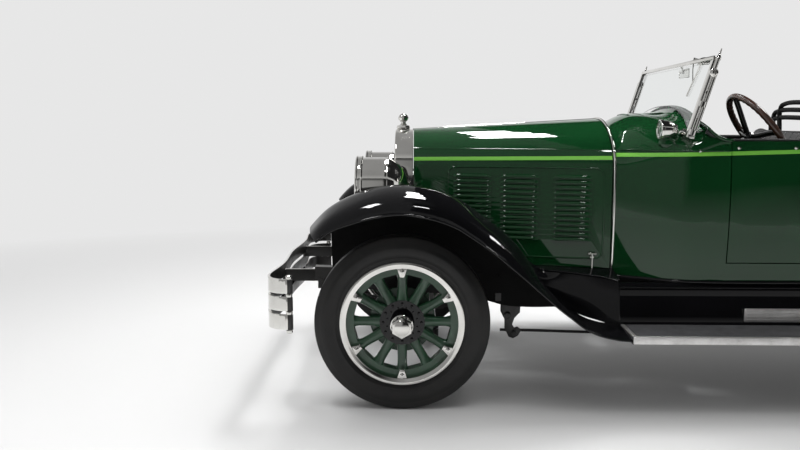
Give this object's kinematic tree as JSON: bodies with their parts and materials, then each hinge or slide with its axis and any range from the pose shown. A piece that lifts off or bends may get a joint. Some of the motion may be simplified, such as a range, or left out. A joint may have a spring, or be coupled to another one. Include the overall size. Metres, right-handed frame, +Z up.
{
  "type": "open touring car",
  "caption": "Open four-door touring car of the 1920s with wood-spoked wheels, folding hood panels, raked windshield, running boards and a lowered fabric top.",
  "frame": {"origin": "on the ground, midway between the bumpers' outer faces and on the car's centre plane", "axes": "+X forwards, +Y to the car's left, +Z up"},
  "size_m": [4.9364, 1.8, 1.643],
  "materials": {
    "green_paint": "gloss dark green",
    "green_wheel": "gloss green",
    "black_paint": "gloss black",
    "chassis": "satin black",
    "iron": "dull grey",
    "chrome": "polished",
    "core": "blackened honeycomb",
    "glass": "clear",
    "mat": "grey ribbed mat with polished edge",
    "leather": "black pleated hide",
    "canvas": "black weave",
    "wood": "dark varnish",
    "tyre": "black rubber"
  },
  "bodies": {
    "car": {"frame": "chassis", "engine_block": "iron", "front_axle": "chassis", "rear_axle": "chassis", "leaf_springs": "chassis", "exhaust": "iron", "fuel_tank": "chassis", "radiator_shell": "chrome", "radiator_core": "core", "radiator_cap": "chrome", "headlamps": "chrome", "headlamp_glass": "glass", "front_bumper": "chrome", "rear_bumper": "chrome", "front_fenders": "black_paint", "rear_fenders": "black_paint", "running_boards": "mat", "aprons": "black_paint", "dust_shields": "black_paint", "hood_rod": "chrome", "cowl": "green_paint", "body_tub": "green_paint", "windshield_frame": "chrome", "windshield_glass": "glass", "front_seat": "leather", "rear_seat": "leather", "folded_top": "canvas", "steering_column": "black_paint", "cowl_lamps": "chrome", "spare_carrier": "black_paint", "tail_lamps": "chrome", "spare_tyre": "tyre", "spare_rim": "chrome"},
    "tie_rod": {"tie_rod": "chassis"},
    "steering_wheel": {"steering_wheel": "wood"},
    "knuckle_left": {"knuckle_left": "chassis"},
    "hood_top_left": {"hood_top_left": "green_paint"},
    "hood_side_left": {"hood_side_left": "green_paint"},
    "door_front_left": {"door_front_left": "green_paint"},
    "wheel_front_left": {"tyre_front_left": "tyre", "rim_front_left": "chrome", "wheel_front_left": "green_wheel"},
    "door_rear_left": {"door_rear_left": "green_paint"},
    "wheel_rear_left": {"tyre_rear_left": "tyre", "rim_rear_left": "chrome", "wheel_rear_left": "green_wheel"},
    "knuckle_right": {"knuckle_right": "chassis"},
    "hood_top_right": {"hood_top_right": "green_paint"},
    "hood_side_right": {"hood_side_right": "green_paint"},
    "door_front_right": {"door_front_right": "green_paint"},
    "wheel_front_right": {"tyre_front_right": "tyre", "rim_front_right": "chrome", "wheel_front_right": "green_wheel"},
    "door_rear_right": {"door_rear_right": "green_paint"},
    "wheel_rear_right": {"tyre_rear_right": "tyre", "rim_rear_right": "chrome", "wheel_rear_right": "green_wheel"}
  },
  "joints": [
    {"name": "steer_left", "type": "hinge", "parent": "car", "child": "knuckle_left", "pos_m": [1.845, 0.59, 0.4025], "axis": [0, 0, 1], "range_deg": [-28, 28]},
    {"name": "roll_front_left", "type": "hinge", "parent": "knuckle_left", "child": "wheel_front_left", "pos_m": [1.845, 0.711, 0.4025], "axis": [0, 1, 0], "continuous": true},
    {"name": "roll_rear_left", "type": "hinge", "parent": "car", "child": "wheel_rear_left", "pos_m": [-1.485, 0.711, 0.4025], "axis": [0, 1, 0], "continuous": true},
    {"name": "steer_right", "type": "hinge", "parent": "car", "child": "knuckle_right", "pos_m": [1.845, -0.59, 0.4025], "axis": [0, 0, 1], "range_deg": [-28, 28]},
    {"name": "roll_front_right", "type": "hinge", "parent": "knuckle_right", "child": "wheel_front_right", "pos_m": [1.845, -0.711, 0.4025], "axis": [0, 1, 0], "continuous": true},
    {"name": "roll_rear_right", "type": "hinge", "parent": "car", "child": "wheel_rear_right", "pos_m": [-1.485, -0.711, 0.4025], "axis": [0, 1, 0], "continuous": true},
    {"name": "tie_rod_swing", "type": "hinge", "parent": "knuckle_left", "child": "tie_rod", "pos_m": [1.695, 0.59, 0.318], "axis": [0, 0, 1], "range_deg": [-28, 28]},
    {"name": "steering_turn", "type": "hinge", "parent": "car", "child": "steering_wheel", "pos_m": [0.104, 0.315, 1.266], "axis": [-0.809, 0, 0.5878], "range_deg": [-392, 392]},
    {"name": "door_front_left_swing", "type": "hinge", "parent": "car", "child": "door_front_left", "pos_m": [-0.2375, 0.623, 0.9], "axis": [0, 0, 1], "range_deg": [0, 65]},
    {"name": "door_front_right_swing", "type": "hinge", "parent": "car", "child": "door_front_right", "pos_m": [-0.2375, -0.623, 0.9], "axis": [0, 0, -1], "range_deg": [0, 65]},
    {"name": "door_rear_left_swing", "type": "hinge", "parent": "car", "child": "door_rear_left", "pos_m": [-0.3425, 0.623, 0.9], "axis": [0, 0, -1], "range_deg": [0, 65]},
    {"name": "door_rear_right_swing", "type": "hinge", "parent": "car", "child": "door_rear_right", "pos_m": [-0.3425, -0.623, 0.9], "axis": [0, 0, 1], "range_deg": [0, 65]},
    {"name": "hood_top_left_lift", "type": "hinge", "parent": "car", "child": "hood_top_left", "pos_m": [1.3175, 0, 1.3], "axis": [0.9985, 0, -0.0556], "range_deg": [0, 60]},
    {"name": "hood_side_left_fold", "type": "hinge", "parent": "hood_top_left", "child": "hood_side_left", "pos_m": [1.3175, 0.29885, 1.17666], "axis": [0.9781, -0.2082, -0.0003], "range_deg": [-40, 0]},
    {"name": "hood_top_right_lift", "type": "hinge", "parent": "car", "child": "hood_top_right", "pos_m": [1.3175, 0, 1.3], "axis": [-0.9985, 0, 0.0556], "range_deg": [0, 60]},
    {"name": "hood_side_right_fold", "type": "hinge", "parent": "hood_top_right", "child": "hood_side_right", "pos_m": [1.3175, -0.29885, 1.17666], "axis": [-0.9781, -0.2082, 0.0003], "range_deg": [-40, 0]}
  ],
  "couplings": [
    {"joint": "steer_right", "follows": "steer_left", "ratio": 1},
    {"joint": "tie_rod_swing", "follows": "steer_left", "ratio": -1},
    {"joint": "steering_turn", "follows": "steer_left", "ratio": 14},
    {"joint": "hood_side_left_fold", "follows": "hood_top_left_lift", "ratio": -0.66667},
    {"joint": "hood_side_right_fold", "follows": "hood_top_right_lift", "ratio": -0.66667}
  ]
}
